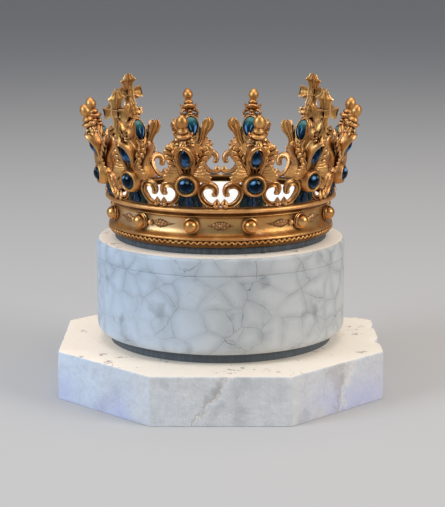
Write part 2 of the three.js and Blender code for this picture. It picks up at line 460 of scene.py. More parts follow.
class Paint:
    """One material and the nodes that colour it."""

    def __init__(self, name: str) -> None:
        """Starts a material with no nodes."""
        self.material = bpy.data.materials.new(name)
        self.material.use_nodes = True
        self.tree = self.material.node_tree
        self.tree.nodes.clear()

    def node(
        self,
        kind: str,
        settings: dict[str, object] | None = None,
        inputs: dict[str | int, Value] | None = None,
        output: str | int = 0,
    ) -> Shade:
        """Adds a node.

        Args:
            kind: The node's type.
            settings: Its own settings, set first; stops are a ramp's places and colours.
            inputs: Values or links of its sockets.
            output: The socket that is wanted.

        Returns:
            The wanted output.
        """
        node = self.tree.nodes.new(kind)
        for key, value in (settings or {}).items():
            if key == "stops":
                ramp = node.color_ramp
                while len(ramp.elements) < len(value):
                    ramp.elements.new(0.5)
                for element, (place, colour) in zip(ramp.elements, value):
                    element.position = place
                    element.color = (*colour, 1)
            else:
                setattr(node, key, value)
        for key, value in (inputs or {}).items():
            if isinstance(value, Shade):
                self.tree.links.new(value.socket, node.inputs[key])
            else:
                socket = node.inputs[key]
                socket.default_value = (*value, 1) if socket.type == "RGBA" else value
        return Shade(self.tree, node.outputs[output])

    def place(self) -> Shade:
        """Gives the point's place on the object."""
        return self.node("ShaderNodeTexCoord", output="Object")

    def scaled(self, factors: Colour) -> Shade:
        """Gives the place stretched along each axis."""
        return self.node("ShaderNodeMapping", None, {"Vector": self.place(), "Scale": factors})

    def axis(self, name: str, where: Shade | None = None) -> Shade:
        """Gives one axis of a vector, or of the point's place."""
        return self.node("ShaderNodeSeparateXYZ", None, {0: where or self.place()}, name)

    def vector(self, operation: str, *inputs: Value, output: str = "Vector") -> Shade:
        """Adds a Vector Math node."""
        settings = {"operation": operation}
        return self.node("ShaderNodeVectorMath", settings, dict(enumerate(inputs)), output)

    def grain(
        self, scale: float, detail: float = 3, rough: float = 0.5, where: Shade | None = None
    ) -> Shade:
        """Gives smooth noise from 0 to 1.

        Args:
            scale: Waves for each metre.
            detail: Finer layers.
            rough: Strength of the finer layers.
            where: Place to read it at.

        Returns:
            The noise.
        """
        where = where or self.place()
        inputs = {"Vector": where, "Scale": scale, "Detail": detail, "Roughness": rough}
        return self.node("ShaderNodeTexNoise", None, inputs)

    def ease(
        self, value: Shade, low: float, high: float, start: float = 0, end: float = 1
    ) -> Shade:
        """Eases from one number to another.

        Args:
            value: The value that is read.
            low: Where it starts to change.
            high: Where it has changed.
            start: Result up to low.
            end: Result from high.

        Returns:
            The eased value.
        """
        inputs = {0: value, 1: low, 2: high, 3: start, 4: end}
        return self.node("ShaderNodeMapRange", {"interpolation_type": "SMOOTHSTEP"}, inputs)

    def mix(self, share: Shade, first: Shade | Colour, second: Shade | Colour) -> Shade:
        """Mixes a share of the second colour into the first."""
        inputs = {0: share, 6: first, 7: second}
        return self.node("ShaderNodeMix", {"data_type": "RGBA"}, inputs, 2)

    def bump(self, height: Shade, strength: float, distance: float) -> Shade:
        """Turns a height into a bent normal."""
        inputs = {"Height": height, "Strength": strength, "Distance": distance}
        return self.node("ShaderNodeBump", None, inputs)

    def surface(self, inputs: dict[str, Value]) -> Material:
        """Finishes the material with one shader.

        Args:
            inputs: Values or links of the shader's sockets.

        Returns:
            The material.
        """
        shader = self.node("ShaderNodeBsdfPrincipled", None, inputs)
        end = self.tree.nodes.new("ShaderNodeOutputMaterial")
        self.tree.links.new(shader.socket, end.inputs["Surface"])
        return self.material


@dataclass(frozen=True)
class AgedGold:
    """Gilding paler on its edges, from rubbed wear and a painted highlight, and dark brown in its
    recesses, where shade is painted.

    It clouds from copper to yellow. The pale tone lies between two heights and inside a radius, and
    turns to a painted shade on the right. A place less open than clear gets painted shade, and so
    does one that curves in: hollow gives from which curve to which, and how much.
    """

    name: str = "aged_gold"
    copper: Colour = (0.54, 0.242, 0.072)
    yellow: Colour = (0.71, 0.38, 0.122)
    blush: Colour = (0.92, 0.52, 0.33)
    # colour of the edges: rubbed wear and a painted highlight
    wear_and_highlight: Colour = (0.95, 0.6, 0.36)
    # colour of the painted shade in recesses
    recess: Colour = (0.045, 0.019, 0.005)
    pale: Colour = (0.74, 0.44, 0.155)
    pale_low: float = 1.0
    pale_high: float = 2.0
    pale_radius: float = 9.0
    # colour of the painted shade that the pale tone turns to on the right
    right_shade: Colour | None = None
    roughness: float = 0.38
    # openness below which painted shade starts; nearby is how far the occlusion looks
    clear: float = 0.72
    nearby: float = 0.006
    soft: float = 0.006
    # pointiness range and share of the painted shade where the surface curves in
    hollow: tuple[float, float, float] = (0.42, 0.492, 0.6)

    def material(self) -> Material:
        """Builds the gilding."""
        paint = Paint(self.name)
        cloud = paint.grain(70, 3)
        tone = paint.mix(paint.ease(cloud, 0.36, 0.66), self.copper, self.yellow)
        tone = paint.mix(paint.ease(paint.grain(130, 2), 0.6, 0.74, 0, 0.5), tone, self.blush)
        # the pale tone turns to a painted shade towards the right, as if lit from the left
        pale = paint.mix(paint.ease(paint.axis("X"), -0.05, 0.0), self.pale, self.right_shade or self.pale)
        tone = paint.mix(self.pale_zone(paint), tone, pale)
        point = paint.node("ShaderNodeNewGeometry", output="Pointiness")
        edge = paint.ease(point, 0.52, 0.62)
        # painted shade: places that ambient occlusion finds closed in
        nearby = {"Distance": self.nearby}
        open_sky = paint.node("ShaderNodeAmbientOcclusion", {"samples": 6}, nearby, "AO")
        hidden = paint.ease(open_sky, 0.18, self.clear, 1, 0)
        # edges paler: rubbed wear and a painted highlight
        tone = paint.mix(edge * 0.55, tone, self.wear_and_highlight)
        low, high, share = self.hollow
        hollow = paint.ease(point, low, high, share, 0)
        # painted shade, broken up by noise, darkens and roughens closed-in and inward-curving
        # places
        painted_shade = (hidden + hollow) * paint.ease(paint.grain(260, 4), 0.2, 0.7, 0.7, 1)
        tone = paint.mix(painted_shade, tone, self.recess)
        rough = self.roughness + 0.1 * paint.grain(420, 4) + 0.22 * painted_shade - 0.08 * edge
        skin = paint.grain(1500, 2) * 0.3 + paint.grain(340, 3)
        return paint.surface({
            "Base Color": tone,
            "Metallic": 1.0,
            "Roughness": rough,
            "Normal": paint.bump(skin, 0.22, 0.0008),
        })

    def pale_zone(self, paint: Paint) -> Shade:
        """Gives where the gilding is paler: between two heights and inside a radius."""
        rise = paint.axis("Z")
        zone = paint.ease(rise, self.pale_low, self.pale_low + self.soft)
        zone = zone * paint.ease(rise, self.pale_high - self.soft, self.pale_high, 1, 0)
        reach = paint.vector("LENGTH", paint.scaled((1, 1, 0)), output="Value")
        zone = zone * paint.ease(reach, self.pale_radius, self.pale_radius + 0.0008, 1, 0)
        return zone * paint.ease(paint.grain(22, 2), 0.34, 0.62, 0.35, 1)


@dataclass(frozen=True)
class Sapphire:
    """Polished dark blue stone, painted paler and greener on its inner side as light coming
    through, with painted streaks, glints and reflections.
    """

    name: str
    deep: Colour = (0.001, 0.003, 0.008)
    middle: Colour = (0.003, 0.024, 0.045)
    high: Colour = (0.075, 0.16, 0.155)
    # colour of the painted streak, glints and reflections
    bright: Colour = (0.08, 0.27, 0.62)
    water: Colour = (0.012, 0.07, 0.08)
    # colour of a small painted highlight on the front
    spark_tone: Colour = (0.2, 0.25, 0.23)
    # colour of the painted reflection round the front's edges
    front: Colour = (0.012, 0.05, 0.075)
    # colour of the painted slash and the brightest glints
    flash: Colour = (0.34, 0.56, 0.8)
    sheen: Colour = (0.4, 0.66, 1.0)
    # heights of the painted gradient of light through the inner side; glow is its painted emission
    low_z: float = 0.208
    high_z: float = 0.226
    glow: float = 0.0
    # share of the painted reflection under the front's lower side
    belly: float = 0.12

    def material(self) -> Material:
        """Builds the stone."""
        paint = Paint(self.name)
        flat = paint.scaled((1, 1, 0))
        normal = paint.node("ShaderNodeNewGeometry", output="Normal")
        out = paint.vector("NORMALIZE", flat)
        along = paint.vector("CROSS_PRODUCT", out, (0, 0, 1))
        facing = paint.vector("DOT_PRODUCT", normal, out, output="Value")
        across = paint.vector("DOT_PRODUCT", normal, along, output="Value")
        # painted light: the inner side shows light coming through, from deep navy below to pale
        # teal above
        inner = paint.ease(facing, -0.35, 0.25, 1, 0)
        rise = paint.ease(paint.axis("Z"), self.low_z, self.high_z)
        silk = paint.grain(240, 3, 0.6) - 0.5
        stops = [(0.0, self.deep), (0.62, self.middle), (0.88, self.water), (1.0, self.high)]
        tone = paint.node("ShaderNodeValToRGB", {"stops": stops}, {0: rise + 0.25 * silk})
        # painted highlight: a bright blue streak down one side of the inner face
        side = paint.ease(paint.axis("X"), -0.01, 0.01, 1, -1)
        streak = paint.ease(abs(across * side - 0.5), 0.05, 0.24, 1, 0)
        streak = streak * paint.ease(rise, 0.5, 0.78, 1, 0)
        tone = paint.mix(streak * paint.ease(rise, 0.02, 0.2) * 0.85, tone, self.bright)
        # painted reflection: a pale slash across the inner face
        slash = paint.ease(abs(across * side + 0.5 * rise), 0.02, 0.1, 0.8, 0)
        slash = slash * paint.ease(abs(rise - 0.5), 0.1, 0.25, 1, 0)
        tone = paint.mix(slash * (0.5 + silk), tone, self.flash)
        # painted highlights on the front, where the normal faces fixed directions up and to one
        # side
        up = paint.axis("Z", normal)
        shine = 0.82 * facing + 0.33 * across + 0.46 * up
        glint = paint.ease(shine, 0.93, 0.985)
        spark = paint.ease(0.86 * facing - 0.22 * across + 0.46 * up, 0.975, 0.995, 0, 0.6)
        # painted reflections: paler blue round the front's edges and under its lower side
        skirt = paint.ease(facing, 0.5, 0.8, 1, 0) * paint.ease(silk, -0.1, 0.1)
        front = paint.mix(skirt, self.deep, self.front)
        belly = paint.ease(up, -0.6, -0.1, self.belly, 0) * paint.ease(silk, -0.14, 0.1)
        front = paint.mix(belly, front, self.bright)
        front = paint.mix(glint * (0.75 + silk), front, self.bright)
        front = paint.mix(paint.ease(shine, 0.975, 0.997, 0, 0.8), front, self.flash)
        front = paint.mix(spark, front, self.spark_tone)
        # the inner side takes the painted light through, the front its painted reflections
        tone = paint.mix(inner, front, tone)
        return paint.surface({
            "Base Color": tone,
            "Roughness": 0.05 + 0.05 * paint.grain(500, 2),
            "IOR": 1.45,
            "Specular IOR Level": 0.22,
            "Specular Tint": self.sheen,
            # painted glow of the stone's colour
            "Emission Color": tone,
            "Emission Strength": self.glow,
        })


@dataclass(frozen=True)
class Enamel:
    """Dark glossy enamel between blue and green."""

    name: str = "dark_enamel"
    blue: Colour = (0.002, 0.008, 0.02)
    green: Colour = (0.003, 0.026, 0.015)
    fleck: Colour = (0.2, 0.22, 0.18)

    def material(self) -> Material:
        """Builds the enamel."""
        paint = Paint(self.name)
        share = paint.ease(paint.grain(210, 2), 0.42, 0.62)
        tone = paint.mix(share, self.blue, self.green)
        tone = paint.mix(paint.ease(paint.grain(700, 2), 0.62, 0.72, 0, 0.6), tone, self.fleck)
        return paint.surface({
            "Base Color": tone,
            "IOR": 1.32,
            "Roughness": 0.1 + 0.14 * paint.grain(600, 2),
        })


@dataclass(frozen=True)
class Marble:
    """White marble with a net of fine cracks, smoky clouds, and a warm top painted as if lit from
    above, with a painted glow that lifts its shade.

    It turns from a painted bluish light on the left to pale at one place along X. The cracks part
    cells, so many to a metre, which drift bends. A ledge is the height of a groove, with a painted
    shade below it and a painted shade down the middle.
    """

    name: str
    pale: Colour = (0.615, 0.635, 0.64)
    # colour of the painted bluish light on the left
    cool_light: Colour = (0.58, 0.67, 0.79)
    # colour of the smoky clouds, and of the painted shade below the groove and down the middle
    smoke_and_shade: Colour = (0.24, 0.27, 0.29)
    crack: Colour = (0.1, 0.11, 0.13)
    # colour of the top, painted as lit warm from above
    lit_top: Colour = (0.93, 0.84, 0.73)
    # colour of the painted glow on the sunny left of the top
    sunlit: Colour = (1.6, 1.2, 0.88)
    speck: Colour = (0.16, 0.17, 0.19)
    crystal: Colour = (0.9, 0.86, 0.82)
    earth: Colour = (0.4, 0.35, 0.31)
    ice: Colour = (0.6, 0.8, 0.92)
    lavender: Colour = (0.62, 0.65, 0.93)
    turning: float = -0.02
    cells: float = 42
    fine_cells: float = 90
    drift: float = 0.012
    cracked: float = 1.0
    # strength of the painted glow on the top
    lift: float = 0.16
    ledge: float | None = None
    vein: bool = False

    def material(self) -> Material:
        """Builds the marble."""
        paint = Paint(self.name)
        inputs = {"Vector": paint.place(), "Scale": 40, "Detail": 3}
        drift = paint.node("ShaderNodeTexNoise", None, inputs, "Color")
        inputs = {0: drift, "Scale": self.drift}
        shift = paint.node("ShaderNodeVectorMath", {"operation": "SCALE"}, inputs)
        bent = paint.vector("ADD", paint.scaled((1, 1, 1.2)), shift)
        fade = paint.grain(30, 2)
        whole = self.cracked
        lines = self.net(paint, bent, self.cells, 0.011)
        lines = lines * paint.ease(fade, 0.38, 0.6, 0.28 * whole, 0.86 * whole)
        lines = lines * paint.ease(paint.grain(95, 2), 0.36, 0.6, 0.35, 1)
        fine = self.net(paint, bent, self.fine_cells, 0.016)
        fine = fine * paint.ease(paint.grain(35, 2), 0.52, 0.68, 0, 0.3)
        halo = self.net(paint, bent, self.cells, 0.3)
        halo = halo * paint.ease(fade, 0.3, 0.66, 0.1 * whole, 0.32 * whole)
        cloud = paint.ease(paint.grain(26, 3, 0.55), 0.52, 0.8, 0, 0.6)
        cloud = cloud + paint.ease(paint.grain(48, 2), 0.6, 0.76, 0, 0.45)
        # painted bluish light: stronger towards the left
        place = paint.axis("X") + 0.12 * (paint.grain(9, 3) - 0.5)
        left = paint.ease(place, self.turning - 0.07, self.turning + 0.04, 1, 0)
        tone = paint.mix(left, self.pale, self.cool_light)
        tone = paint.mix(cloud + halo, tone, self.smoke_and_shade)
        # painted shade: a soft shade below the groove and down the middle
        if self.ledge:
            rise = paint.axis("Z")
            step = paint.ease(rise, self.ledge - 0.016, self.ledge, 0, 0.16)
            step = step * paint.ease(rise, self.ledge, self.ledge + 0.0008, 1, 0)
            middle = paint.ease(abs(paint.axis("X") - 0.012), 0.0, 0.06, 0.1, 0)
            tone = paint.mix(step + middle, tone, self.smoke_and_shade)
        if self.vein:
            tone = self.quarried(paint, tone)
        tone = paint.mix(lines + fine, tone, self.crack)
        # painted light: top faces go warm and light as if lit from above, with dark specks
        up = paint.axis("Z", paint.node("ShaderNodeNewGeometry", output="Normal"))
        top = paint.ease(up, 0.8, 0.97)
        flecks = paint.ease(paint.grain(120, 5, 0.75, bent), 0.57, 0.61)
        flecks = flecks * paint.ease(paint.grain(30, 1), 0.5, 0.56)
        warm = paint.mix(flecks * 0.85, self.lit_top, self.speck)
        tone = paint.mix(top, tone, warm)
        # painted glow: emission lifts the shade on the top, more towards the back and on the left
        far = top * paint.ease(paint.axis("Y"), -0.13, 0.0, 0.35, 1)
        sunny = top * paint.ease(paint.axis("X"), -0.12, -0.05, 0.8, 0)
        lift = paint.mix(sunny, paint.mix(far, (0, 0, 0), self.lit_top), self.sunlit)
        chisel = paint.grain(300, 6, 0.7) * (2.4 if self.vein else 0.4)
        pits = chisel - 1.2 * (lines + fine)
        return paint.surface({
            "Base Color": tone,
            "Roughness": 0.4 + 0.2 * paint.grain(160, 4) + 0.2 * lines,
            "Normal": paint.bump(pits, 0.35, 0.0016 if self.vein else 0.0008),
            "Emission Color": lift,
            "Emission Strength": self.lift,
        })

    def quarried(self, paint: Paint, tone: Shade) -> Shade:
        """Adds rough grain, a lavender tint low on the sides and slanting crystal veins.

        Args:
            paint: The material.
            tone: Colour of the plain stone.

        Returns:
            The colour with them.
        """
        tone = paint.mix(paint.ease(paint.grain(210, 6, 0.75), 0.3, 0.7, 0.3, 0), tone, self.smoke_and_shade)
        flank = paint.ease(abs(paint.axis("X")), 0.055, 0.075)
        flank = flank * paint.ease(paint.grain(14, 2), 0.35, 0.6)
        flank = flank * paint.ease(paint.axis("Z"), 0.004, 0.036, 0.75, 0.1)
        tone = paint.mix(flank, tone, self.lavender)
        sparkle = paint.ease(paint.grain(260, 5, 0.75), 0.36, 0.62, 0.05, 1)
        taper = paint.ease(paint.axis("Z"), 0.004, 0.04, 2.4, 0.8)
        for slope, shift, thin in ((0.62, 0.02, 1.0), (0.2, -0.101, 0.5)):
            ragged = 0.03 * (paint.grain(60, 5, 0.65) - 0.5)
            away = (paint.axis("X") - slope * paint.axis("Z") + shift + ragged) * taper * thin
            soil = paint.ease(abs(away + 0.0045), 0.0005, 0.005, 0.4, 0)
            core = paint.ease(abs(away), 0.001, 0.005, 0.9, 0) * sparkle
            edge = paint.ease(abs(away - 0.0036), 0.0004, 0.002, 0.5, 0) * sparkle
            for share, colour in ((soil, self.earth), (core, self.crystal), (edge, self.ice)):
                tone = paint.mix(share, tone, colour)
        return tone

    @staticmethod
    def net(paint: Paint, where: Shade, scale: float, width: float) -> Shade:
        """Gives a net of lines.

        Args:
            paint: The material.
            where: Place to read it at.
            scale: Cells for each metre.
            width: Width of the lines, as a share of a cell.

        Returns:
            One on the lines and none between them.
        """
        settings = {"feature": "DISTANCE_TO_EDGE"}
        inputs = {"Vector": where, "Scale": scale, "Randomness": 0.95}
        away = paint.node("ShaderNodeTexVoronoi", settings, inputs, "Distance")
        return paint.ease(away, 0.0, width, 1, 0)


@dataclass(frozen=True)
class Slate:
    """Dark blue-grey slate, turned to a fine streaky edge."""

    name: str = "dark_slate"
    dark: Colour = (0.045, 0.057, 0.07)
    light: Colour = (0.095, 0.116, 0.14)

    def material(self) -> Material:
        """Builds the slate."""
        paint = Paint(self.name)
        layers = paint.grain(420, 4, 0.6, paint.scaled((1, 1, 0.15)))
        tone = paint.mix(paint.ease(layers, 0.35, 0.7), self.dark, self.light)
        return paint.surface({
            "Base Color": tone,
            "Roughness": 0.5 + 0.2 * paint.grain(300, 3),
            "Normal": paint.bump(layers, 0.1, 0.0005),
        })


@dataclass(frozen=True)
class WhiteCloth:
    """Plain white strip with a fine weave and a painted glow that lifts it to white."""

    name: str = "white_strip"
    thread: Colour = (0.93, 0.93, 0.91)
    gap: Colour = (0.86, 0.86, 0.85)
    # strength of the painted glow
    lift: float = 0.58

    def material(self) -> Material:
        """Builds the cloth."""
        paint = Paint(self.name)
        settings = {"wave_type": "BANDS", "bands_direction": "Z"}
        inputs = {"Vector": paint.place(), "Scale": 400.0}
        weft = paint.node("ShaderNodeTexWave", settings, inputs, "Fac")
        weave = weft * 0.6 + 0.4 * paint.grain(900, 2)
        return paint.surface({
            "Base Color": paint.mix(weave, self.gap, self.thread),
            "Roughness": 0.8 + 0.1 * weave,
            "Normal": paint.bump(weave, 0.2, 0.0003),
            "Emission Color": self.thread,
            "Emission Strength": self.lift,
        })


@dataclass(frozen=True)
class PaleFloor:
    """The plain pale floor of the studio."""

    name: str = "pale_floor"
    tone: Colour = (0.52, 0.52, 0.53)

    def material(self) -> Material:
        """Builds the floor's paint."""
        paint = Paint(self.name)
        return paint.surface({"Base Color": self.tone, "Roughness": 0.75})


# The stand


@dataclass(frozen=True)
class Stand:
    """The marble plinth and drum and the two slate discs, in millimetres."""

    across_flats: float = 280.0
    plinth_height: float = 42.0
    side_faces: int = 40
    drum_radius: float = 109.2
    drum_height: float = 83.0
    drum_foot: tuple[float, float] = (7.0, 8.0)
    drum_head: float = 3.6
    drum_core: float = 60.0
    groove_down: float = 15.5
    chip_reach: float = 7.0
    chip_from: float = 130.0
    foot_disc: tuple[float, float] = (98.0, 8.0)
    seat_disc: tuple[float, float] = (93.0, 5.6)

    def build(
        self, marble: Material, veined: Material, slate: Material, lit_slate: Material
    ) -> None:
        """Builds and dresses the four pieces.

        Args:
            marble: Finish of the drum.
            veined: Finish of the plinth.
            slate: Finish of the seat disc.
            lit_slate: Finish of the foot disc, a lighter copy of the slate, painted light against
                the shade under the drum.
        """
        foot = self.disc("foot_disc", self.foot_disc)
        seat = self.disc("seat_disc", self.seat_disc)
        show("marble_plinth", self.plinth(), [veined], ["plinth"])
        show("marble_drum", self.drum(), [marble], ["drum"])
        show("slate_foot", foot, [lit_slate], ["foot_disc"])
        show("slate_seat", seat, [slate], ["seat_disc"])

    def plinth(self) -> Mesh:
        """Builds the octagonal slab with its chipped upper edges."""
        tall = self.plinth_height
        corner = self.across_flats / 2 / math.cos(math.pi / 8)
        rows = [(0.0, 0.0), (0.5, 0.0), (0.997, 0.0), (1.0, 0.4)]
        rows += [(1.0, tall * k / 14) for k in range(1, 14)]
        rows += [(1.0, tall - 1.5), (1.0, tall - 0.9), (0.998, tall - 0.4), (0.9955, tall - 0.08)]
        rows += [(scale, tall) for scale in (0.992, 0.97, 0.93, 0.8, 0.5, 0.0)]
        around = 8 * self.side_faces
        points = np.zeros((len(rows), around, 3))
        for column in range(around):
            side, share = divmod(column / self.side_faces, 1)
            ends = [(side + k - 0.5) * math.pi / 4 for k in (0, 1)]
            first, last = (np.array([math.sin(a), -math.cos(a)]) * corner for a in ends)
            rim = first + (last - first) * share
            for row, (scale, height) in enumerate(rows):
                points[row, column] = (*(rim * scale), height)
        casting = Casting()
        casting.add(grid(around, len(rows) - 1, points))
        return casting.mesh("marble_plinth", self.chip, 35)

    def chip(self, points: np.ndarray) -> np.ndarray:
        """Knocks small chips off the plinth's edges.

        Args:
            points: The slab's points in millimetres.

        Returns:
            The chipped points in metres.
        """
        tall = self.plinth_height
        wear_and_highlight = points.copy()
        for index, point in enumerate(points):
            angle = math.atan2(point[0], -point[1])
            off = (angle + math.pi / 8) % (math.pi / 4) - math.pi / 8
            reach = math.hypot(point[0], point[1]) * math.cos(off)
            down, inside = tall - point[2], self.across_flats / 2 - reach
            edge = max(0.0, 1 - down / self.chip_reach) * max(0.0, 1 - inside / self.chip_reach)
            spot = noise.noise(Vector(point) * 0.055 + Vector((3.1, 7.7, 1.3)))
            rough = 0.7 + 0.6 * noise.noise(Vector(point) * 0.35)
            bite = max(0.0, spot - 0.24) * self.chip_reach * edge * rough
            bump = 0.12 * noise.noise(Vector(point) * 0.3)
            away = max(math.hypot(point[0], point[1]), 1e-6)
            inward = np.array([-point[0], -point[1], 0]) / away
            if reach > self.chip_from:
                wear_and_highlight[index] += inward * max(0.0, bite + bump)
                wear_and_highlight[index][2] -= 0.8 * bite if point[2] > 1 else 0.0
        return wear_and_highlight * MM

    def drum(self) -> Mesh:
        """Builds the round block with its fine groove and rounded edges."""
        radius, tall = self.drum_radius, self.drum_height
        line = tall - self.groove_down
        inset, rise = self.drum_foot
        bend = self.drum_head
        profile = [(0.0, 0.0), (self.drum_core, 0.0)]
        for a in np.linspace(0, math.pi / 2, 9):
            profile.append((radius - inset + inset * math.sin(a), rise * (1 - math.cos(a))))
        profile += [(radius, rise + (line - 9.1) * k / 8) for k in range(1, 8)]
        groove = ((0, -1.3), (-0.35, -0.5), (-0.65, 0), (-0.15, 0.6), (0.1, 1.4), (0.1, 6))
        profile += [(radius + out, line + up) for out, up in groove]
        for a in np.linspace(0, math.pi / 2, 8):
            profile.append((radius - bend * (1 - math.cos(a)), tall - bend + bend * math.sin(a)))
        profile += [(96.0, tall), (self.drum_core, tall), (0.0, tall)]
        casting = Casting()
        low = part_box("drum")[0].z / MM
        casting.add(turn(profile, 160, Matrix.Translation((0, 0, low))))
        return casting.mesh("marble_drum", self.weather, 40)

    @staticmethod
    def weather(points: np.ndarray) -> np.ndarray:
        """Makes a stone surface slightly uneven."""
        uneven = [0.12 * noise.noise(Vector(point) * 0.05) for point in points]
        reach = np.maximum(np.hypot(points[:, 0], points[:, 1]), 1e-6)
        scale = 1 + np.array(uneven) * (reach > 90) / reach
        return np.stack([points[:, 0] * scale, points[:, 1] * scale, points[:, 2]], axis=1) * MM

    @staticmethod
    def disc(node: str, size: tuple[float, float]) -> Mesh:
        """Builds a slate disc with softened edges.

        Args:
            node: The frame's node that it stands for.
            size: Radius and height.

        Returns:
            The mesh.
        """
        radius, tall = size
        profile = [
            (0.0, 0.0), (radius - 0.8, 0.0), (radius - 0.2, 0.3), (radius, 0.9),
            (radius, tall * 0.5),
            (radius, tall - 0.9), (radius - 0.2, tall - 0.3), (radius - 0.8, tall), (0.0, tall),
        ]
        casting = Casting()
        casting.add(turn(profile, 144, Matrix.Translation((0, 0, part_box(node)[0].z / MM))))
        return casting.mesh(node, still, 40)


# The crown


@dataclass(frozen=True)
class Circlet:
    """The band with its rope edge, mouldings and cast leaves, in millimetres."""

    profile: Table = (
        (90.4, 0.2), (90.7, 0), (94.6, 0), (95.8, 0.35), (96.5, 1.0), (96.9, 2.0), (97.0, 3.2),
        (97.0, 5.4), (97.1, 6.1), (97.9, 6.35), (98.3, 6.9), (98.25, 7.6), (97.8, 8.3), (96.9, 9.0),
        (95.7, 9.8), (94.6, 10.7), (93.7, 11.9), (93.0, 13.5), (92.55, 15.6), (92.4, 18.0),
        (92.5, 20.6), (92.75, 22.6), (93.2, 24.0), (93.9, 25.0), (94.6, 25.3), (95.0, 25.8),
        (94.9, 26.4), (95.2, 26.8), (95.9, 27.7), (97.0, 28.7), (98.4, 29.5), (99.4, 29.8),
        (100.3, 30.0), (101.0, 30.7), (101.15, 31.6), (100.8, 32.6), (100.0, 33.3), (98.9, 33.7),
        (97.6, 33.7), (97.0, 33.1), (93.0, 33.0), (92.6, 33.6), (91.6, 33.9), (90.8, 33.7),
        (90.4, 33.2), (90.4, 32.2), (93.6, 31.8), (93.6, 28.9), (90.4, 28.5), (90.4, 0.2),
    )
    # below foot_top, in the cove under the rim and in the inner channel the band takes painted
    # shade; past rim_reach above the cove it takes a painted highlight
    foot_top: float = 6.15
    cove: tuple[float, float] = (26.5, 29.7)
    wall_reach: float = 94.5
    channel_low: float = 28.0
    rim_reach: float = 97.0
    rope_back: float = 96.9
    rope_middle: float = 4.5
    rope_swing: float = 0.78
    rope_half: float = 0.92
    rope_proud: float = 1.7
    waves: int = 118
    leaf_back: float = 92.3
    double_leaf: Table = (
        (0, 18.2, 0.5, 3.2, 0.9), (1.8, 18.2, 0.6, 4.0, 1.0), (4.4, 18.2, 0.5, 3.0, 0.9),
        (7.2, 18.2, 0.3, 1.5, 0.7), (11.0, 18.2, 0.1, 0.2, 0.3),
    )
    double_bead: Bead = ((0, 18.2, 0.9), 1.8)
    spray_leaf: Table = (
        (-11.8, 18.2, 0.3, 0.9, 0.5), (-8.6, 18.2, 0.6, 2.6, 0.9), (-4.6, 18.2, 0.7, 3.7, 1.1),
        (-0.6, 18.2, 0.6, 2.9, 1.0), (3.4, 18.2, 0.4, 1.3, 0.7), (9.4, 18.8, 0.1, 0.2, 0.3),
    )
    spray_bead: Bead = ((-14.2, 18.2, 1.1), 2.6)
    lining: tuple[float, float, float, float] = (89.2, 90.2, 0.6, 28.0)

    def build(self, finishes: Sequence[Material], cloth: Material) -> None:
        """Builds and dresses the band and its lining.

        Args:
            finishes: Finishes of the band, of the painted shade in its recesses, of its leaves and
                of its rim with a painted highlight.
            cloth: Finish of the lining.
        """
        show("band", self.band(), finishes, ["circlet"])
        inner, outer, low, high = self.lining
        profile = [(inner, low), (outer, low), (outer, high), (inner, high), (inner, low)]
        casting = Casting()
        casting.add(turn(profile, 192))
        strip = casting.mesh("white_lining", self.seat, 40)
        show("white_lining", strip, [cloth], ["lining"])

    @staticmethod
    def seat(points: np.ndarray) -> np.ndarray:
        """Lifts the band's points onto the stand, in metres."""
        return points * MM + np.array([0, 0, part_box("circlet")[0].z])

    def band(self) -> Mesh:
        """Builds the band as one casting."""
        casting = Casting()
        shape = turn(self.profile, 288)
        # painted shade on the foot, in the cove and in the inner channel; painted highlight on the
        # rim
        for face in shape.faces:
            centre = face.calc_center_median()
            reach = math.hypot(centre.x, centre.y)
            low, high = self.cove
            under = low < centre.z < high and reach > self.wall_reach
            inside = reach < self.wall_reach and centre.z > self.channel_low
            rim = reach > self.rim_reach and centre.z > high
            dark = centre.z < self.foot_top or under or inside
            face.material_index = SHADED if dark else BRIGHT if rim else PLAIN
        casting.add(shape)
        casting.add(self.rope())
        for number in NUMBERS:
            self.leaves(casting, number)
        return casting.mesh("band", self.seat, 42)

    def rope(self) -> BMesh:
        """Builds the waved cord along the band's foot."""
        half = self.rope_swing + self.rope_half + 0.15
        low, high = (self.rope_middle + side * half for side in (-1, 1))
        back = self.rope_back
        front = [(back, low + (high - low) * k / 20) for k in range(21)]
        profile = [(back - 0.6, low), *front, (back - 0.6, high)]
        shape = turn([*profile, profile[0]], self.waves * 14)
        for vert in shape.verts:
            reach = math.hypot(vert.co.x, vert.co.y)
            if reach < back - 0.3:
                continue
            swing = self.waves * math.atan2(vert.co.y, vert.co.x)
            steep = self.rope_swing * self.waves / back * math.cos(swing)
            away = vert.co.z - self.rope_middle - self.rope_swing * math.sin(swing)
            away /= math.hypot(1, steep)
            swell = self.rope_proud * math.sqrt(max(0.0, 1 - (away / self.rope_half) ** 2))
            vert.co.x *= 1 + swell / reach
            vert.co.y *= 1 + swell / reach
        # painted shade on the cord's ground below its middle
        for face in shape.faces:
            centre = face.calc_center_median()
            ground = math.hypot(centre.x, centre.y) < back + 0.3 * self.rope_proud
            face.material_index = int(ground and centre.z < self.rope_middle)
        return shape

    def leaves(self, casting: Casting, number: int) -> None:
        """Casts the ornament midway between a stud and the next.

        Args:
            casting: The band.
            number: The sector whose stud comes before it.
        """
        flat = Casting()
        crosses = [top_of(n) is Top.CROSS for n in (number, number % SECTORS + 1)]
        if not any(crosses):
            leaf = sweep(self.double_leaf, Section.BLADE, 40, 4, 0.2, 0.5)
            flat.add(leaf, both=True, finish=LEAF)
            flat.add(bead(*self.double_bead), finish=LEAF)
        else:
            flat.add(sweep(self.spray_leaf, Section.BLADE, 60, 7, 0.1, 0.5), finish=LEAF)
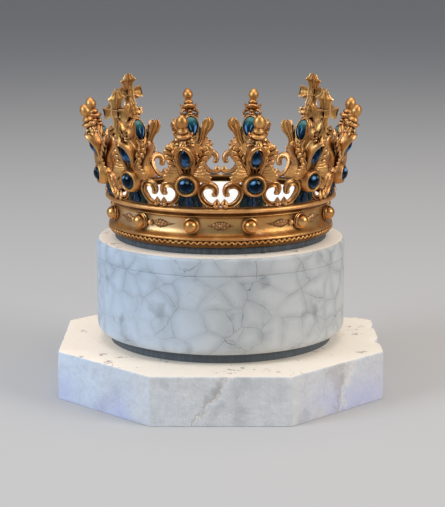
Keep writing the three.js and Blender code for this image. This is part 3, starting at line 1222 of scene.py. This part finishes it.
            # the bead takes the lighter gilding, a painted highlight
            flat.add(bead(*self.spray_bead), finish=BRIGHT)
            flip = Matrix.Scale(1 if crosses[0] else -1, 4, (1, 0, 0))
            bmesh.ops.transform(flat.shape, matrix=flip, verts=flat.shape.verts)
        middle = number * SECTOR_ANGLE
        for vert in flat.shape.verts:
            angle = middle + vert.co.x / self.leaf_back
            reach = self.leaf_back + max(vert.co.z, -0.2)
            vert.co = (reach * math.sin(angle), -reach * math.cos(angle), vert.co.y)
        casting.add(flat.shape)


@dataclass(frozen=True)
class Stud:
    """The domed studs under the fleurons, in millimetres."""

    height: float = 18.3
    back: float = 93.0
    profile: Table = (
        (0, 0), (7.0, 0), (7.1, 0.5), (6.95, 1.1), (6.5, 1.4), (6.25, 1.5), (6.2, 1.9), (6.5, 2.2),
        (6.55, 2.6), (6.3, 2.9), (5.85, 3.0), (5.75, 3.3),
    )
    dome: tuple[float, float, float] = (5.75, 3.4, 9.0)

    def build(self, gold: Material) -> None:
        """Builds and dresses the studs.

        Args:
            gold: Their finish.
        """
        casting = Casting()
        casting.add(turn([*self.profile, *dome(*self.dome)], 40))
        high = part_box("circlet")[0].z + self.height * MM
        stand = Matrix.Translation((0, -self.back * MM, high))
        model = casting.mesh("stud", still, 40)
        model.transform(stand @ Matrix.Rotation(math.pi / 2, 4, "X"))
        for number in NUMBERS:
            node = f"stud_{number:02d}"
            show(f"domed_{node}", turned(model, number), [gold], [node])


@dataclass(frozen=True)
class Fleuron:
    """One fleuron of the cresting, in millimetres.

    Bars give side, up, proud, half width and half depth. Lobes give side and up of the root and of
    the tip, proud of both, and half width; their shape gives share of the way, width, depth and
    lift. Knops give up, width, height and depth.
    """

    top: Top
    crest: Crest = Crest()
    finial_proud: float = 1.8
    setting_back: float = -1.2
    scroll: Table = (
        (23.4, 2.2, 1.6, 1.2, 1.4), (20.4, 1.9, 1.4, 1.9, 1.8), (16.2, 2.4, 1.2, 2.1, 1.9),
        (12.2, 5.6, 1.1, 2.15, 2.1), (9.7, 10.6, 1.0, 2.2, 2.2), (9.8, 15.2, 1.0, 2.3, 2.3),
        (12.2, 19.0, 1.1, 2.6, 2.4), (16.6, 20.7, 1.3, 2.8, 2.5), (20.6, 19.6, 1.5, 2.8, 2.5),
        (22.2, 16.4, 1.7, 2.6, 2.4), (21.6, 13.2, 1.9, 2.3, 2.2), (20.6, 12.0, 2.0, 2.0, 1.9),
    )
    scroll_bead: Bead = ((20.4, 12.4, 2.2), 2.0)
    bud_bead: Bead = ((21.3, 1.7, 3.0), 2.1)
    bud: Table = (
        (21.6, 0.8, 2.0, 1.6, 1.0), (22.1, 2.8, 2.6, 3.2, 1.9), (22.3, 5.2, 2.4, 2.6, 1.6),
        (22.5, 8.2, 1.8, 0.3, 0.4),
    )
    foot: Table = (
        (0, 0.1, 0.0, 13.6, 1.2), (0, 3.0, 0.0, 13.0, 1.3), (0, 8.0, 0.2, 10.4, 1.4),
        (0, 14, 0.4, 6.4, 1.6),
    )
    plate: Table = (
        (0, 0.3, 1.1, 10.2, 0.7), (0, 3.0, 1.2, 9.6, 0.7), (0, 8.0, 1.4, 8.0, 0.7),
        (0, 14, 1.6, 5.6, 0.7),
    )
    stem: Table = (
        (0, 12, 0.6, 5.2, 1.8), (0, 26, 1.0, 5.0, 2.1), (0, 32, 1.0, 5.3, 2.2),
        (0, 37, 0.8, 6.0, 2.0),
    )
    rail: Table = (
        (5.0, 25, 2.4, 0.8, 0.9), (5.2, 31, 2.6, 0.85, 1.0), (6.6, 35.6, 2.4, 0.9, 1.0),
        (9.6, 39.4, 1.0, 0.9, 1.0), (12.8, 43.8, -2.0, 0.8, 0.9), (15.4, 48.6, -5.0, 0.6, 0.7),
        (16.4, 52.6, -7.6, 0.3, 0.4),
    )
    petal: Table = (
        (5.0, 25.5, 0.2, 1.9, 1.3), (9.0, 30.0, -0.8, 3.0, 1.7), (10.8, 35.8, -3.0, 3.2, 1.8),
        (12.6, 40.6, -5.6, 4.2, 1.9), (15.0, 45.0, -7.8, 5.8, 1.8), (16.2, 48.6, -9.4, 5.4, 1.5),
        (16.0, 51.8, -10.6, 1.2, 0.8),
    )
    lobes: Table = (
        (5.6, 28.4, 19.4, 25.8, 3.0, 3.8, 2.3), (5.8, 29.6, 20.4, 29.4, 3.2, 4.4, 2.5),
        (6.2, 31.0, 18.8, 32.8, 2.8, 3.8, 2.4), (6.5, 33.0, 16.0, 35.6, 2.4, 3.2, 2.3),
        (6.8, 34.6, 14.6, 38.6, 1.8, 2.8, 2.3), (7.8, 36.8, 15.8, 42.4, 0.4, 1.6, 2.4),
        (9.4, 39.8, 18.4, 46.4, -1.4, 0.2, 2.6), (11.4, 42.8, 19.8, 50.2, -3.2, -1.6, 2.7),
        (13.0, 45.6, 17.6, 53.4, -5.2, -3.6, 2.9), (10.4, 41.4, 12.4, 49.4, -3.2, -3.4, 2.4),
        (8.2, 38.0, 9.6, 45.4, -1.2, -1.4, 2.1),
    )
    lobe_shape: Table = (
        (0, 0.35, 0.7, 0), (0.3, 0.9, 1.1, 0.6), (0.6, 1.05, 1.3, 1.1), (0.85, 0.8, 1.1, 1.1),
        (1.0, 0.1, 0.4, 0.5),
    )
    lobe_sag: float = 1.1
    lobe_tip: float = 0.8
    hood: Table = mirrored((
        (-3.6, 31.0, 0.8, 1.3, 2.6), (-5.4, 35.4, 1.0, 1.5, 3.1), (-6.4, 42.0, 1.4, 1.7, 3.3),
        (-6.0, 48.4, 2.2, 1.8, 4.0), (-4.1, 53.6, 3.4, 1.9, 4.8), (0, 56.2, 4.0, 2.0, 5.3),
    ))
    crown_leaf: Table = (
        (0, 54.6, 7.6, 1.4, 0.8), (0, 57.0, 7.4, 2.8, 1.0), (0, 59.8, 5.8, 2.2, 1.0),
        (0, 62.0, 5.4, 0.4, 0.5),
    )
    shoulder: Table = (
        (2.2, 57.6, 3.6, 0.9, 1.2), (4.8, 57.4, 3.4, 1.6, 1.5), (7.4, 56.2, 3.0, 1.3, 1.2),
        (8.8, 54.4, 2.6, 0.3, 0.4),
    )
    collet: Table = (
        (0, 34.2, -1.4, 0.7, 1.0), (4.0, 36.2, -2.0, 0.7, 1.1), (6.7, 42.0, -2.5, 0.7, 1.2),
        (6.8, 48.4, -2.5, 0.7, 1.2), (4.3, 53.6, -2.2, 0.7, 1.1), (0, 55.8, -1.8, 0.7, 1.0),
    )
    niche: Table = (
        (0, 36.0, 3.0, 1.2, 1.4), (3.0, 37.2, 3.2, 1.3, 1.5), (4.7, 40.8, 3.6, 1.5, 1.6),
        (4.7, 45.0, 3.6, 1.5, 1.6), (3.4, 49.4, 3.4, 1.5, 1.6), (0, 52.4, 3.2, 1.6, 1.7),
    )
    setting_profile: Table = (
        (0, -2.0), (8.6, -2.0), (9.4, -1.2), (9.8, 0.0), (10.0, 1.6), (10.05, 3.2), (9.9, 4.8),
        (9.55, 6.2), (9.1, 7.2), (8.9, 7.7), (8.75, 8.3), (8.4, 8.8), (7.8, 9.1), (7.3, 8.9),
        (7.0, 8.4), (6.8, 8.3), (6.5, 8.6), (6.2, 8.3), (6.1, 7.6), (6.1, 5.1), (0, 5.0),
    )
    ball_profile: Table = (
        (0, 55.6), (3.4, 56.0), (3.6, 57.4), (2.9, 58.6), (2.4, 60.0), (2.3, 61.4), (2.8, 62.2),
        (4.2, 62.8), (5.8, 63.6), (6.5, 64.6), (6.55, 65.4), (6.1, 66.1), (4.8, 66.6), (3.6, 66.9),
        (3.5, 67.3), (4.2, 67.8), (4.6, 68.6), (4.55, 69.4), (4.0, 70.2), (3.0, 70.8), (2.6, 71.4),
        (2.9, 72.1), (3.7, 72.9), (4.4, 74.2), (4.75, 75.8), (4.6, 77.4), (4.0, 79.0), (3.1, 80.5),
        (2.0, 81.6), (0.9, 82.2), (0, 82.4),
    )
    high_petal: Table = (
        (4.2, 63.4, 0, 1.2, 2.2), (6.0, 64.2, 0, 1.3, 2.6), (7.1, 65.4, 0, 1.4, 2.4),
        (7.5, 66.8, 0, 1.2, 1.8), (7.5, 67.8, 0, 0.5, 0.7),
    )
    low_petal: Table = (
        (1.8, 60.6, 0, 1.4, 2.2), (4.2, 61.6, 0, 1.9, 2.8), (6.4, 60.9, 0, 1.9, 2.6),
        (7.9, 58.9, 0, 1.4, 1.9), (8.1, 57.0, 0, 0.5, 0.8),
    )
    knops: Table = ((60.2, 2.9, 1.7, 5.5), (57.2, 3.9, 1.7, 5.9))
    post: Table = (
        (0, 55.6, 2.2, 3.6, 3.4), (0, 57.4, 2.1, 4.7, 4.4), (0, 59.2, 2.0, 3.5, 3.3),
        (0, 61.2, 1.9, 4.5, 4.3), (0, 63.2, 1.8, 3.4, 3.2), (0, 65.4, 1.8, 4.3, 4.1),
        (0, 67.6, 1.7, 3.3, 3.2), (0, 70.4, 1.6, 4.0, 3.8), (0, 73.4, 1.5, 3.3, 3.2),
        (0, 77.4, 1.2, 3.5, 3.3), (0, 81.0, 1.0, 3.9, 3.6), (0, 85.4, 0.0, 3.4, 3.2),
        (0, 88.0, -0.8, 3.6, 3.3), (0, 90.2, -1.5, 4.5, 3.9), (0, 91.8, -2.1, 5.6, 4.8),
        (0, 92.6, -2.4, 5.4, 4.6), (0, 93.8, -2.8, 3.9, 3.4), (0, 95.6, -3.3, 2.8, 2.5),
        (0, 97.2, -3.7, 2.2, 2.1), (0, 97.6, -3.8, 1.5, 1.4), (0, 97.7, -3.8, 0.1, 0.1),
    )
    arm: Table = (
        (0, 81.0, 1.0, 3.5, 3.3), (3.0, 81.0, 1.0, 3.3, 3.1), (5.2, 81.0, 1.0, 3.2, 2.9),
        (6.5, 81.0, 1.0, 3.9, 3.3), (7.6, 81.0, 1.0, 4.9, 3.9), (8.7, 81.0, 1.0, 5.2, 4.2),
        (10.8, 81.0, 1.0, 5.3, 4.3), (12.5, 81.0, 1.0, 5.7, 4.6), (13.0, 81.0, 1.0, 5.5, 4.4),
        (13.05, 81.0, 1.0, 3.2, 2.8), (13.1, 81.0, 1.0, 0.2, 0.2),
    )
    volute: Table = (
        (0.8, 75.4, 1.6, 1.5, 2.2), (2.4, 70.0, 1.9, 2.1, 2.9), (4.6, 64.8, 2.2, 2.3, 3.3),
        (7.2, 61.6, 2.4, 2.3, 3.4), (9.6, 62.8, 2.5, 2.1, 3.3), (9.4, 65.8, 2.6, 1.7, 3.0),
        (7.2, 66.0, 2.6, 1.2, 2.8),
    )
    tongue_foot: Table = (
        (0, 12.6, 2.6, 1.6, 1.0), (0, 8.0, 2.9, 2.4, 1.3), (0, 4.4, 3.0, 3.4, 1.3),
        (0, 1.0, 2.8, 2.6, 0.9),
    )
    side_foot: Table = (
        (2.6, 12.0, 2.4, 0.8, 0.8), (5.4, 9.4, 2.6, 1.8, 1.1), (7.6, 6.0, 2.6, 2.4, 1.1),
        (8.2, 1.6, 2.3, 1.4, 0.8),
    )

    def build(self, finishes: Sequence[Material], enamels: Sequence[Material]) -> None:
        """Builds and dresses every fleuron with this top.

        Args:
            finishes: Finishes of the casting, of its painted shade in recesses and, for a cross, of
                the painted shade in its hollows.
            enamels: Finishes of the feet and of their middle tongues.
        """
        casting = Casting()
        self.cast_foot(casting)
        self.cast_leaves(casting)
        self.cast_hood(casting)
        if self.top is Top.BALL:
            self.cast_ball(casting)
        else:
            self.cast_cross(casting)
        model = casting.mesh(f"{self.top.value}_casting", self.crest.wrap)
        foot = self.enamel_foot()
        for number in NUMBERS:
            if top_of(number) is not self.top:
                continue
            node = f"{self.top.value}_fleuron_{number:02d}"
            show(f"cast_{node}", turned(model, number), finishes, [node])
            show(f"enamel_foot_{number:02d}", turned(foot, number), enamels)

    def cast_foot(self, casting: Casting) -> None:
        """Casts the scrolls, the buds, the setting and the stem."""
        casting.add(sweep(self.scroll, Section.FLUTED, 72), both=True)
        casting.add(bead(*self.scroll_bead), both=True)
        casting.add(sweep(self.bud, Section.BLADE, 18), both=True)
        casting.add(bead(*self.bud_bead), both=True)
        casting.add(sweep(self.foot, Section.BLADE, 16))
        # the stem takes the painted-shade finish
        casting.add(sweep(self.stem, Section.STEM, 24), finish=SHADED)
        setting = turn(self.setting_profile, 48, SETTING)
        for vert in setting.verts:
            vert.co.z = max(vert.co.z, self.setting_back)
        casting.add(setting)
        casting.add(sweep(self.rail, Section.ROUND, 36), both=True)

    def cast_leaves(self, casting: Casting) -> None:
        """Casts the upright side leaves and the curled lobes in front of them."""
        casting.add(sweep(self.petal, Section.PADDLE, 40), both=True)
        for side, up, tip_side, tip_up, proud, tip_proud, width in self.lobes:
            rows = tuple(
                (
                    side + (tip_side - side) * share,
                    up + (tip_up - up) * share - self.lobe_sag * math.sin(math.pi * share),
                    proud + (tip_proud - proud) * share + lift,
                    width * wide,
                    deep,
                )
                for share, wide, deep, lift in self.lobe_shape
            )
            casting.add(sweep(rows, Section.BUBBLE, 28, 1.5, 0.12, 0.15), both=True)
            tip = (0.1 * side + 0.9 * tip_side, 0.1 * up + 0.9 * tip_up, tip_proud + 0.6)
            casting.add(bead(tip, self.lobe_tip), both=True)

    def cast_hood(self, casting: Casting) -> None:
        """Casts the hood over the drop, its leaves and the rim that holds the stone."""
        casting.add(sweep(self.hood, Section.SHELL, 60))
        casting.add(sweep(self.collet, Section.ROUND, 36), both=True)
        # the niche round the drop takes the painted-shade finish
        if self.top is Top.BALL:
            casting.add(sweep(self.niche, Section.ROUND, 36), both=True, finish=SHADED)
        casting.add(sweep(self.crown_leaf, Section.BLADE, 20))
        casting.add(sweep(self.shoulder, Section.BLADE, 20), both=True)

    def cast_ball(self, casting: Casting) -> None:
        """Casts the turned finial, its leaves and the knops of its neck."""
        upright_at = Matrix.Translation((0, 0, self.finial_proud))
        casting.add(turn(self.ball_profile, 40, upright_at @ UPRIGHT))
        for rows in (self.high_petal, self.low_petal):
            petal = sweep(rows, Section.TONGUE, 20, 2.5, 0.2, 0.2)
            casting.add(petal, both=True, place=upright_at)
        for up, wide, tall, deep in self.knops:
            stretch = Matrix.Diagonal((wide, tall, deep, 1))
            place = Matrix.Translation((0, up, self.finial_proud)) @ stretch
            casting.add(bead((0, 0, 0), 1), place=place)

    def cast_cross(self, casting: Casting) -> None:
        """Casts the cross with its flared arms and the volutes at its foot."""
        # the hollows of the post and arms take the darker gilding, painted shade
        casting.add(sweep(self.post, Section.CUSP, 120, hollow=HOLLOW))
        casting.add(sweep(self.arm, Section.CUSP, 40, hollow=HOLLOW), both=True)
        casting.add(sweep(self.volute, Section.FLUTED, 56, 6, 0.06, 0.14), both=True)

    def enamel_foot(self) -> Mesh:
        """Builds the three-lobed enamel foot under the setting."""
        casting = Casting()
        casting.add(sweep(self.plate, Section.SHELL, 16))
        casting.add(sweep(self.tongue_foot, Section.BLADE, 16), finish=1)
        casting.add(sweep(self.side_foot, Section.BLADE, 16), both=True)
        return casting.mesh("enamel_foot", self.crest.wrap)


@dataclass(frozen=True)
class Stones:
    """The round and the drop-shaped stones, in millimetres."""

    crest: Crest = Crest()
    seat: float = 5.2
    girdle: float = 2.2
    radius: float = 6.05
    rise: float = 4.6
    pear_foot: float = 1.2
    pear_taper: float = 0.65
    back_spread: float = 0.28
    front_depth: float = 1.35
    back_depth: float = 1.12
    drop: Table = (
        (0, 35.4), (1.3, 35.8), (2.5, 37.0), (3.6, 39.0), (4.6, 41.6), (5.3, 44.2), (5.5, 46.4),
        (5.3, 48.8), (4.6, 51.2), (3.4, 53.2), (1.8, 54.3), (0, 54.6),
    )

    def build(self, round_stone: Material, drop_stone: Material) -> None:
        """Builds and dresses the stones.

        Args:
            round_stone: Finish of the round stones.
            drop_stone: Finish of the drops.
        """
        casting = Casting()
        seat, radius = self.seat, self.radius
        edge = seat + self.girdle
        profile = [(0, seat), (radius - 0.3, seat), (radius, seat + 0.4), (radius, edge - 0.3)]
        profile += dome(radius, edge, edge + self.rise, 14)
        casting.add(turn(profile, 48, SETTING))
        cabochon = casting.mesh("cabochon", self.crest.wrap, 60)
        casting = Casting()
        smooth = spline(np.array(self.drop, float), np.linspace(0, 1, 40))
        smooth[:, 0] = np.maximum(smooth[:, 0], 0)
        casting.add(turn([tuple(point) for point in smooth], 40, UPRIGHT))
        drop = casting.mesh("drop", self.belly, 60)
        stones = (("cabochon", cabochon, round_stone), ("drop_stone", drop, drop_stone))
        for number in NUMBERS:
            for name, model, finish in stones:
                node = f"{name}_{number:02d}"
                show(f"polished_{node}", turned(model, number), [finish], [node])

    def belly(self, points: np.ndarray) -> np.ndarray:
        """Fills a drop out to its front and its back and wraps it on the crest.

        Args:
            points: Side, up and proud in millimetres.

        Returns:
            Places in metres, before the turn to a sector.
        """
        side, up, proud = points.T
        pear = self.pear_foot - self.pear_taper * np.clip((up - 38) / 14, 0, 1)
        broad = 1 + self.back_spread * np.clip(-proud / 3, 0, 1)
        wide = broad + (pear - broad) * np.clip(proud / 2, 0, 1)
        deep = np.where(proud > 0, self.front_depth, self.back_depth)
        return self.crest.wrap(np.stack([side * wide, up, proud * deep], axis=1))


# The studio


@dataclass(frozen=True)
class Softbox:
    """One soft light of the studio."""

    name: str
    place: Colour
    size: float
    watts: float
    tone: Colour = (1, 1, 1)
    aim: Colour = (0, 0, 0.16)

    def build(self) -> None:
        """Hangs the light and turns it to the object."""
        light = bpy.data.lights.new(self.name, "AREA")
        light.shape = "DISK"
        light.size = self.size
        light.energy = self.watts
        light.color = self.tone
        lamp = bpy.data.objects.new(self.name, light)
        lamp.location = self.place
        way = Vector(self.aim) - Vector(self.place)
        lamp.rotation_euler = way.to_track_quat("-Z", "Y").to_euler()
        bpy.context.scene.collection.objects.link(lamp)


@dataclass(frozen=True)
class Studio:
    """The floor, the lights and the camera at the photograph's viewing angle."""

    camera_place: Colour = (0.0, -1.4081, 0.3921)
    camera_tilt: float = 78.925
    lens: float = 114.974
    sensor: float = 36.0
    far: float = 50
    shift: float = 0.00355
    floor_half: float = 9.0
    world: Colour = (0.74, 0.77, 0.82)
    world_strength: float = 0.32
    lights: tuple[Softbox, ...] = (
        Softbox("key_left", (-2.1, -1.1, 1.4), 1.3, 36, (0.72, 0.86, 1.0)),
        Softbox("fill_right", (2.1, -1.0, 1.3), 1.2, 27, (1.0, 0.96, 0.9)),
        Softbox("overhead", (0.05, -0.05, 2.6), 2.8, 45, (1.0, 0.9, 0.79)),
    )

    def build(self) -> None:
        """Builds the studio."""
        shape = bmesh.new()
        bmesh.ops.create_grid(shape, x_segments=2, y_segments=2, size=self.floor_half)
        mesh = bpy.data.meshes.new("floor")
        shape.to_mesh(mesh)
        shape.free()
        floor = bpy.data.objects.new("floor", mesh)
        mesh.materials.append(PaleFloor().material())
        bpy.context.scene.collection.objects.link(floor)
        for light in self.lights:
            light.build()
        self.sky()
        data = bpy.data.cameras.new("camera")
        data.lens = self.lens
        data.sensor_width = self.sensor
        data.shift_x = self.shift
        data.clip_end = self.far
        camera = bpy.data.objects.new("camera", data)
        camera.location = self.camera_place
        camera.rotation_euler = (math.radians(self.camera_tilt), 0, 0)
        bpy.context.scene.collection.objects.link(camera)
        bpy.context.scene.camera = camera

    def sky(self) -> None:
        """Sets the soft light all round."""
        world = bpy.data.worlds.new("studio")
        world.use_nodes = True
        back = world.node_tree.nodes["Background"]
        back.inputs["Color"].default_value = (*self.world, 1)
        back.inputs["Strength"].default_value = self.world_strength
        bpy.context.scene.world = world


def main() -> None:
    """Builds the crown on its stand in the studio."""
    logging.basicConfig(level=logging.INFO, format="%(name)s %(message)s")
    bpy.context.scene.view_settings.view_transform = "Standard"
    gold = AgedGold().material()
    # cross gilding: paler above pale_low, with stronger painted shade in closed-in and
    # inward-curving places
    cross_gold = AgedGold(
        "cross_gold",
        pale=(0.72, 0.4, 0.13),
        pale_low=0.231,
        clear=0.88,
        hollow=(0.43, 0.494, 0.75),
    ).material()
    # band gilding: a paler wall, partly polished gilding and partly a painted highlight, with a
    # painted shade on the right
    band_gold = AgedGold(
        "band_gold",
        pale=(0.78, 0.55, 0.31),
        pale_low=0.147,
        pale_high=0.168,
        pale_radius=0.0936,
        right_shade=(0.52, 0.32, 0.125),
    ).material()
    # a darker copy of the gilding: painted shade for coves, grooves, stems and niches
    shadow_gold = AgedGold(
        "shadow_gold",
        copper=(0.14, 0.06, 0.017),
        yellow=(0.2, 0.092, 0.028),
        blush=(0.3, 0.14, 0.06),
        wear_and_highlight=(0.5, 0.27, 0.11),
    ).material()
    # a darker copy of the gilding: painted shade in the hollows of the crosses
    shade_gold = AgedGold(
        "shade_gold", copper=(0.4, 0.195, 0.06), yellow=(0.56, 0.3, 0.095), roughness=0.4
    ).material()
    bronze = AgedGold(
        "bronze",
        copper=(0.38, 0.185, 0.075),
        yellow=(0.48, 0.26, 0.115),
        blush=(0.55, 0.32, 0.18),
        wear_and_highlight=(0.8, 0.5, 0.28),
        roughness=0.44,
    ).material()
    # a lighter copy of the gilding: painted highlight for the band's rim and the sprays' beads
    lit_gold = AgedGold(
        "lit_gold", copper=(0.74, 0.36, 0.115), yellow=(0.9, 0.5, 0.19), roughness=0.44
    ).material()
    # stud gilding: a more copper tone, with painted shade spread further round the domes
    stud_gold = AgedGold(
        "stud_gold",
        copper=(0.62, 0.285, 0.085),
        yellow=(0.78, 0.41, 0.145),
        roughness=0.27,
        clear=0.9,
    ).material()
    navy = Sapphire("navy_stone").material()
    # drops: brighter painted reflections and a painted glow on their inner side
    teal = Sapphire(
        "teal_stone",
        bright=(0.12, 0.32, 0.7),
        front=(0.005, 0.04, 0.09),
        glow=0.4,
        belly=0.26,
    ).material()
    blue = Enamel("blue_enamel", blue=(0.003, 0.024, 0.075), green=(0.003, 0.016, 0.04))
    enamels = [Enamel().material(), blue.material()]
    slate = Slate().material()
    # a lighter copy of the slate: painted light against the shade under the drum
    lit_slate = Slate(
        "lit_slate", dark=(0.085, 0.103, 0.122), light=(0.115, 0.138, 0.162)
    ).material()
    # plinth: veined rough marble, with its painted bluish light turning further to the left
    rough = Marble(
        "plinth_marble",
        pale=(0.81, 0.81, 0.815),
        cool_light=(0.79, 0.88, 1.0),
        smoke_and_shade=(0.42, 0.43, 0.45),
        turning=-0.07,
        cracked=0.35,
        vein=True,
    ).material()
    # drum: painted shade below its groove
    smooth = Marble("drum_marble", ledge=0.118).material()
    Studio().build()
    Stand().build(smooth, rough, slate, lit_slate)
    Circlet().build([band_gold, shadow_gold, bronze, lit_gold], WhiteCloth().material())
    Stud().build(stud_gold)
    Fleuron(Top.BALL).build([gold, shadow_gold], enamels)
    Fleuron(Top.CROSS).build([cross_gold, shadow_gold, shade_gold], enamels)
    Stones().build(navy, teal)


if __name__ == "__main__":
    main()
